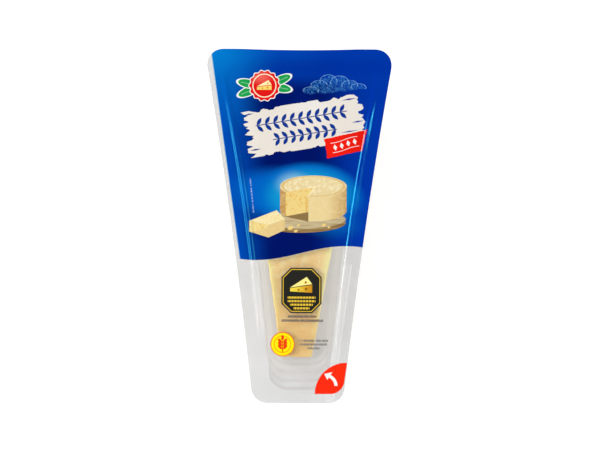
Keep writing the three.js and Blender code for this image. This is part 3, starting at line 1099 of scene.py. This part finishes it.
@dataclass(frozen=True)
class HardCheese:
    """Grainy straw-coloured paste with pale crystals, darker towards the rind."""

    name: str
    half_angle: float
    wheel_radius: float
    apex: tuple[float, float]
    turn: float
    top: float
    # where the painted highlight along the top's long edges lies
    edge_highlight_band: tuple[float, float] = (5.5, 0.8)
    tip_band: tuple[float, float] = (117.5, 67.5)
    rind_band: tuple[float, float] = (7.0, 2.0)
    crust_band: tuple[float, float] = (2.2, 0.3)
    grain_depth: float = 0.45
    paste: str = "FCDA90"
    pale: str = "FDE8A8"
    deep: str = "F6C87C"
    grain: str = "F8E6BA"
    crystal: str = "FAF0D8"
    # painted shade: the darker colour of the cracks
    crack_shade: str = "CF9440"
    tip: str = "F0B654"
    # painted highlight along the top's long edges, where the rounded edges catch the light; paler on the right, where
    # less light falls
    edge: str = "F1E190"
    far_edge_highlight: str = "FFF5AB"
    under_rind: str = "C58A3E"
    rind: str = "BA8238"
    crust_light: str = "DCAC5C"

    def material(self) -> bpy.types.Material:
        """Makes the material.

        Returns:
            The material.
        """
        graph = Graph(self.name)
        broad = graph.noise(0.05, 3.0)
        patches = graph.noise(0.22, 4.0)
        grain = graph.noise(1.3, 5.0)
        crystals = graph.rise(graph.cells(0.28), 0.16, 0.08)
        across, from_apex, _ = graph.split(graph.local(*self.apex, math.degrees(self.turn)))
        to_side = from_apex * math.tan(self.half_angle) - abs(across)
        edge_highlight = graph.rise(to_side + (patches - 0.5) * 2.4, *self.edge_highlight_band)
        sides = graph.rise(graph.z, self.top - 1.0, self.top - 3.0)
        cracks = graph.rise(abs(graph.noise(0.14, 6.0) - 0.5), 0.03, 0.0) * sides
        depth = self.wheel_radius - graph.length(graph.vector(across, from_apex)) + (grain - 0.5) * 1.2
        # the painted highlight's colour, paler towards the right edge
        rim = graph.blend(graph.rise(across, -4.0, 4.0), self.edge, self.far_edge_highlight)
        crust = graph.blend(graph.rise(patches, 0.4, 0.65) * 0.6, self.rind, self.crust_light)
        tone = graph.layered(
            self.paste,
            (graph.rise(broad, 0.3, 0.7), self.deep),
            (graph.rise(patches, 0.42, 0.68) * 0.7, self.pale),
            (graph.rise(grain, 0.45, 0.75) * 0.25, self.grain),
            (crystals * 0.6, self.crystal),
            # painted highlight along the top's long edges, weaker on the sides
            (edge_highlight * (0.85 - sides * 0.6), rim),
            # painted shade in the cracks
            (cracks * 0.5, self.crack_shade),
            (graph.rise(from_apex, *self.tip_band) * 0.5, self.tip),
            (graph.rise(depth, *self.rind_band) * 0.8, self.under_rind),
            (graph.rise(depth, *self.crust_band), crust),
        )
        relief = grain * 0.6 + patches * 0.8 + crystals * 0.15 - cracks * 0.5
        return graph.surface(
            Base_Color=tone,
            Roughness=0.52 + (grain - 0.5) * 0.2,
            IOR=1.45,
            Normal=graph.bump(relief, self.grain_depth),
            Subsurface_Weight=0.12,
            Subsurface_Radius=(0.006, 0.004, 0.002),
            Subsurface_Scale=0.4,
        )


# ----------------------------------------------------------------------------------------------------------------
# The pieces
# ----------------------------------------------------------------------------------------------------------------


class SheetPiece:
    """What the tray and the film share: filling the last ring and facing up."""

    @staticmethod
    def close_centre(piece: bpy.types.Object, last: int, slot: int) -> None:
        """Fills the innermost ring of the open sheet with one face.

        Args:
            piece: The piece that is open in edit mode.
            last: The ring's place in the row.
            slot: The material slot that marks the new face.
        """
        layer = bmesh.from_edit_mesh(piece.data).verts.layers.int[RingLoft.ring_layer]
        Bench.pick(piece, "EDGE", lambda e: all(v[layer] == last for v in e.verts))
        bpy.ops.mesh.edge_face_add()
        for face in bmesh.from_edit_mesh(piece.data).faces:
            if face.select:
                face.material_index = slot
        bmesh.update_edit_mesh(piece.data)

    @staticmethod
    def face_up(piece: bpy.types.Object) -> None:
        """Turns all faces of the open sheet so that the flat ones look up."""
        bpy.ops.mesh.select_all(action="SELECT")
        bpy.ops.mesh.normals_make_consistent(inside=False)
        mesh = bmesh.from_edit_mesh(piece.data)
        if sum(f.normal.z * f.calc_area() for f in mesh.faces) < 0.0:
            bpy.ops.mesh.flip_normals()


@dataclass
class ClearTray:
    """The thermoformed tray: a flat seal, a bead round the cavity, and the cavity with its stepped narrow end."""

    form: PackForm
    wall: float = 0.6
    ledge_count: int = 3
    ledge_tread: float = 3.5
    ledge_slope: float = 0.9
    ledge_round: float = 0.7
    ledge_fall: float = 0.4
    rim_drop: float = 0.3
    rim_round: float = 1.6
    foot_round: float = 2.2
    draft: float = 2.3
    wide_draft: float = 4.6

    def _cavity_rings(self) -> list[Ring]:
        """The rings from the bead's inner foot down to the floor."""
        form = self.form
        depth = form.flange_z - self.wall
        rings = [form.even_ring(form.bead_end, form.flange_z - self.rim_drop)]

        def add(down: float, narrow: float, wall_in: float = 0.0, corner: float = form.cavity_corner) -> None:
            """Adds one ring, at a depth and with its own inset at the narrow end."""
            share = down / depth
            side = form.bead_end + self.rim_round * 0.5 + self.draft * share + wall_in
            wide = form.bead_end + self.rim_round * 0.5 + self.wide_draft * share + wall_in
            rings.append(Ring(side, wide, narrow, corner, form.rim_bow, form.flange_z - down))

        narrow = form.bead_end * form.narrow_share + self.rim_round
        add(self.rim_round * 0.5, narrow - self.rim_round * 0.3)
        add(self.rim_round, narrow)
        for number in range(1, self.ledge_count + 1):
            down = number * depth / (self.ledge_count + 1)
            narrow += self.ledge_slope
            add(down - self.ledge_round, narrow)
            narrow += self.ledge_round
            add(down, narrow)
            narrow += self.ledge_tread - 2.0 * self.ledge_round
            add(down + self.ledge_fall, narrow)
            narrow += self.ledge_round
            add(down + self.ledge_fall + self.ledge_round, narrow)
        narrow += self.ledge_slope
        add(depth - self.foot_round, narrow)
        for share in (0.33, 0.67):
            turn = share * math.pi / 2.0
            moved = self.foot_round * (1.0 - math.cos(turn))
            add(depth - self.foot_round * (1.0 - math.sin(turn)), narrow + moved, moved * 0.7)
        add(depth, narrow + self.foot_round, self.foot_round, form.cavity_corner - 1.0)
        return rings

    def build(self) -> bpy.types.Object:
        """Makes the tray and dresses it.

        Returns:
            The tray.
        """
        rings = [*self.form.seal_rings(3), *self.form.bead_rings(20), *self._cavity_rings()]
        piece = RingLoft(self.form).build("tray_shell", rings)
        SheetPiece.close_centre(piece, len(rings), 0)
        SheetPiece.face_up(piece)
        Bench.modify(piece, "SOLIDIFY", thickness=self.wall, offset=-1.0, use_even_offset=False)
        piece.data.materials.append(ClearPlastic().material())
        Bench.finish(piece, 50.0)
        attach(piece, "root")
        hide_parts("tray")
        return piece


@dataclass
class LidFilm:
    """The film that closes the tray: it follows the bead, and swells a little over the cheese."""

    form: PackForm
    seal_gap: float = 0.2
    wall: float = 0.15
    pillow_reach: float = 13.0
    pillow_height: float = 1.2
    pillow_rings: int = 7
    centre_half_width: float = 36.0
    centre_end_gap: float = 20.0
    cut_step: float = 5.0
    slack: float = 0.10
    slack_waves: tuple[float, float] = (0.045, 0.02)
    centre_slot: int = 5

    def _rings(self) -> list[Ring]:
        """The rings of the film's upper face, from the edge inwards."""
        rings = [*self.form.seal_rings(3), *self.form.bead_rings(20)]
        for number in range(self.pillow_rings):
            share = number / (self.pillow_rings - 1)
            swell = math.sin(share * math.pi / 2.0) * self.pillow_height
            corner = self.form.cavity_corner - 9.0 * share
            inset = self.form.bead_end + self.pillow_reach * share
            rings.append(self.form.even_ring(inset, self.form.flange_z + swell, corner))
        return rings

    def _cut_centre(self, piece: bpy.types.Object) -> None:
        """Cuts the middle face into strips both ways, so that it can be slack.

        Args:
            piece: The piece that is open in edit mode.
        """
        reach = self.form.half_length - self.centre_end_gap
        for axis, far in ((Vector((0.0, 1.0, 0.0)), reach), (Vector((1.0, 0.0, 0.0)), self.centre_half_width)):
            steps = int(2.0 * far / self.cut_step)
            for number in range(1, steps):
                place = axis * mix(-far, far, number / steps)
                Bench.pick(piece, "FACE", lambda f: f.material_index == self.centre_slot)
                bpy.ops.mesh.bisect(plane_co=place, plane_no=axis)

    def _loosen(self, piece: bpy.types.Object) -> None:
        """Gives the film inside the bead its slight slack, and every face its material slot.

        Args:
            piece: The piece that is open in edit mode.
        """
        mesh = bmesh.from_edit_mesh(piece.data)
        for vert in mesh.verts:
            over = smoothstep(0.2 * self.pillow_height, self.pillow_height, vert.co.z - self.form.flange_z)
            flat = Vector((vert.co.x * self.slack_waves[0], vert.co.y * self.slack_waves[1], 0.0))
            vert.co.z += self.slack * over * (noise.noise(flat) + 0.5 * noise.noise(flat * 2.7))
        for face in mesh.faces:
            wide = face.calc_center_median().y > FilmPrint.split_y
            face.material_index = (FilmFace.WIDE_END if wide else FilmFace.NARROW_END).value
        bmesh.update_edit_mesh(piece.data)

    def build(self) -> bpy.types.Object:
        """Makes the film and dresses it.

        Returns:
            The film.
        """
        rings = self._rings()
        piece = RingLoft(self.form).build("lid_film_sheet", rings)
        SheetPiece.close_centre(piece, len(rings), self.centre_slot)
        self._cut_centre(piece)
        SheetPiece.face_up(piece)
        bpy.ops.mesh.bisect(plane_co=(0.0, FilmPrint.split_y, 0.0), plane_no=(0.0, 1.0, 0.0))
        self._loosen(piece)
        bpy.ops.mesh.select_all(action="SELECT")
        bpy.ops.transform.translate(value=(0.0, 0.0, self.seal_gap + self.wall))
        film = PrintedFilm(self.form)
        for face in (FilmFace.WIDE_END, FilmFace.NARROW_END, FilmFace.UNDERSIDE, FilmFace.UNDERSIDE):
            name = f"film_{face.name.lower()}"
            piece.data.materials.append(bpy.data.materials.get(name) or film.material(face))
        Bench.modify(
            piece,
            "SOLIDIFY",
            thickness=self.wall,
            offset=-1.0,
            use_even_offset=False,
            material_offset=FilmFace.UNDERSIDE.value,
        )
        Bench.finish(piece, 50.0)
        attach(piece, "root")
        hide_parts("lid_film")
        return piece


@dataclass
class CheeseWedge:
    """A sector of a wheel of hard cheese, cut off near the wheel's middle, with its rind at the wide end."""

    half_angle: float = math.radians(9.28)
    wheel_radius: float = 219.0
    tip_radius: float = 59.3
    apex: tuple[float, float] = (-1.83, -140.5)
    turn: float = math.radians(-0.93)
    edge_round: float = 1.7
    cuts: tuple[tuple[int, int], ...] = ((1, 40), (0, 16), (2, 8))
    voxel: float = 0.75
    low: Vector = field(default_factory=lambda: in_mm(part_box("cheese_wedge")[0]))
    high: Vector = field(default_factory=lambda: in_mm(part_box("cheese_wedge")[1]))

    @staticmethod
    def _runs_along(edge: bmesh.types.BMEdge, axis: int) -> bool:
        """True on an edge that runs mostly along one axis."""
        run = [abs(part) for part in edge.verts[1].co - edge.verts[0].co]
        return run[axis] > 0.5 * max(run)

    def _block(self) -> bpy.types.Object:
        """A block with a narrow end and a curved wide end, with the wheel's middle at its origin."""
        Bench.clear_selection()
        bpy.ops.mesh.primitive_cube_add(size=1.0)
        piece = bpy.context.object
        piece.name = piece.data.name = "cheese_paste"
        mesh = Bench.edit(piece)
        for vert in mesh.verts:
            vert.co.y = self.wheel_radius if vert.co.y > 0.0 else self.tip_radius
            vert.co.z = self.high.z if vert.co.z > 0.0 else self.low.z
            vert.co.x *= 2.0 * vert.co.y * math.tan(self.half_angle)
        bmesh.update_edit_mesh(piece.data)
        for axis, cuts in self.cuts:
            Bench.pick(piece, "EDGE", lambda e: self._runs_along(e, axis))
            bpy.ops.mesh.subdivide(number_cuts=cuts)
        mesh = bmesh.from_edit_mesh(piece.data)
        for vert in mesh.verts:
            bend = vert.co.y - math.sqrt(max(0.0, vert.co.y**2 - vert.co.x**2))
            vert.co.y -= bend * smoothstep(self.tip_radius, self.wheel_radius, vert.co.y)
        bmesh.update_edit_mesh(piece.data)
        return piece

    def _round_edges(self, piece: bpy.types.Object) -> None:
        """Bevels the block's edges."""
        Bench.pick(
            piece,
            "EDGE",
            lambda e: len(e.link_faces) == 2 and e.link_faces[0].normal.angle(e.link_faces[1].normal) > 1.0,
        )
        bpy.ops.mesh.bevel(offset=self.edge_round, segments=4, affect="EDGES")

    def _lay_down(self, piece: bpy.types.Object) -> None:
        """Turns the block a little about the wheel's middle and brings it to its place in the tray."""
        Bench.choose(piece)
        piece.matrix_world = Matrix.Translation((*self.apex, 0.0)) @ Matrix.Rotation(self.turn, 4, "Z")
        bpy.ops.object.transform_apply(location=True, rotation=True, scale=True)

    def _roughen(self, piece: bpy.types.Object) -> None:
        """Gives the faces their crumbly grain: broad swells, small pits and fine grains."""
        Bench.modify(piece, "REMESH", mode="VOXEL", voxel_size=self.voxel)
        swells = bpy.data.textures.new("swells", "CLOUDS")
        swells.noise_scale = 14.0
        grains = bpy.data.textures.new("grains", "CLOUDS")
        grains.noise_scale, grains.noise_depth = 2.6, 3
        pits = bpy.data.textures.new("pits", "VORONOI")
        pits.noise_scale, pits.distance_metric = 5.5, "DISTANCE"
        for texture, strength, middle in ((swells, 0.55, 0.75), (grains, 0.42, 0.7), (pits, 0.22, 0.9)):
            Bench.modify(piece, "DISPLACE", texture=texture, strength=strength, mid_level=middle)

    def build(self) -> bpy.types.Object:
        """Makes the wedge and dresses it.

        Returns:
            The wedge.
        """
        piece = self._block()
        self._round_edges(piece)
        self._lay_down(piece)
        self._roughen(piece)
        finish = HardCheese("hard_cheese", self.half_angle, self.wheel_radius, self.apex, self.turn, self.high.z)
        piece.data.materials.append(finish.material())
        Bench.finish(piece, 60.0)
        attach(piece, "root")
        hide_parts("cheese_wedge")
        return piece


# ----------------------------------------------------------------------------------------------------------------
# The studio
# ----------------------------------------------------------------------------------------------------------------


@dataclass(frozen=True)
class Softbox:
    """A rectangular light that points at the pack."""

    name: str
    place: tuple[float, float, float]
    width: float
    length: float
    power: float

    def build(self) -> None:
        """Adds the light."""
        light = bpy.data.lights.new(self.name, "AREA")
        light.shape = "RECTANGLE"
        light.size, light.size_y = self.width, self.length
        light.energy = self.power
        lamp = bpy.data.objects.new(self.name, light)
        lamp.location = self.place
        lamp.rotation_euler = (-Vector(self.place)).to_track_quat("-Z", "Y").to_euler()
        bpy.context.scene.collection.objects.link(lamp)


@dataclass(frozen=True)
class Studio:
    """A pale floor that sweeps up all round, soft light from the sides, and a camera that looks straight down."""

    film_z: float = 0.030
    focal_length: float = 100.0
    sensor: float = 36.0
    view_width: float = 0.3702
    aim: tuple[float, float] = (0.00085, 0.00073)
    roll: float = 0.3
    floor_radius: float = 2.4
    floor_drop: float = 0.0002
    floor_sides: int = 96
    floor_sweep: tuple[tuple[float, float], ...] = ((1.10, 0.03), (1.08, 0.10), (1.05, 0.2), (1.02, 0.4), (1.0, 1.2))
    floor_glow: float = 0.568
    surround: float = 0.12

    def _floor(self) -> None:
        """The floor: a disc whose rim is drawn out and up."""
        Bench.clear_selection()
        bpy.ops.mesh.primitive_circle_add(
            vertices=self.floor_sides,
            radius=self.floor_radius,
            fill_type="NGON",
            location=(0.0, 0.0, -self.floor_drop),
        )
        floor = bpy.context.object
        floor.name = "floor"
        Bench.edit(floor)
        bpy.ops.mesh.select_mode(type="EDGE")
        for grow, lift in self.floor_sweep:
            Bench.pick(floor, "EDGE", lambda e: e.is_boundary)
            bpy.ops.mesh.extrude_edges_move(TRANSFORM_OT_translate={"value": (0.0, 0.0, lift)})
            bpy.ops.transform.resize(value=(grow, grow, 1.0))
        bpy.ops.object.mode_set(mode="OBJECT")
        bpy.ops.object.shade_smooth_by_angle(angle=math.radians(50.0))
        graph = Graph("pale_floor")
        cloud = graph.noise(0.004, 2.0)
        floor.data.materials.append(
            graph.surface(
                Base_Color=graph.blend(cloud, (0.60, 0.60, 0.60, 1.0), (0.63, 0.63, 0.63, 1.0)),
                Roughness=0.85,
                Specular_IOR_Level=0.1,
                Emission_Color=(1.0, 1.0, 1.0, 1.0),
                Emission_Strength=self.floor_glow,
            )
        )

    def _lights(self) -> None:
        """The softboxes and a dim surround."""
        boxes = [
            Softbox("left_strip", (-1.219, -0.158, 1.156), 0.25, 0.31, 3.3),
            Softbox("left_low_strip", (-1.414, 0.225, 0.908), 0.45, 0.28, 5.9),
            Softbox("left_box", (-1.58, 0.0, 0.575), 1.0, 0.5, 9.8),
            Softbox("right_strip", (1.235, -0.008, 1.102), 0.075, 0.25, 1.8),
            Softbox("right_box", (1.58, -0.10, 0.64), 1.0, 0.55, 9.6),
            Softbox("top_box", (-0.30, 1.75, 1.45), 2.0, 0.9, 13.5),
            Softbox("foot_box", (0.10, -1.75, 1.45), 2.0, 0.9, 12.5),
        ]
        for box in boxes:
            box.build()
        world = bpy.data.worlds.new("surround")
        world.use_nodes = True
        background = world.node_tree.nodes["Background"]
        background.inputs["Color"].default_value = (1.0, 1.0, 1.0, 1.0)
        background.inputs["Strength"].default_value = self.surround
        bpy.context.scene.world = world

    def _camera(self) -> None:
        """The camera over the pack."""
        data = bpy.data.cameras.new("camera")
        data.lens, data.sensor_width = self.focal_length, self.sensor
        camera = bpy.data.objects.new("camera", data)
        height = self.view_width * self.focal_length / self.sensor
        camera.location = (*self.aim, self.film_z + height)
        camera.rotation_euler = (0.0, 0.0, math.radians(self.roll))
        bpy.context.scene.collection.objects.link(camera)
        bpy.context.scene.camera = camera

    def build(self) -> None:
        """Sets the floor, the lights and the camera."""
        self._floor()
        self._lights()
        self._camera()
        bpy.context.scene.view_settings.view_transform = "Standard"


def main() -> None:
    """Builds the pack and its studio."""
    logging.basicConfig(level=logging.INFO, format="%(name)s: %(message)s")
    form = PackForm.from_frame()
    for maker in (ClearTray(form), LidFilm(form), CheeseWedge()):
        piece = maker.build()
        LOG.info("%s: %d faces", piece.name, len(piece.data.polygons))
    Studio().build()


if __name__ == "__main__":
    main()
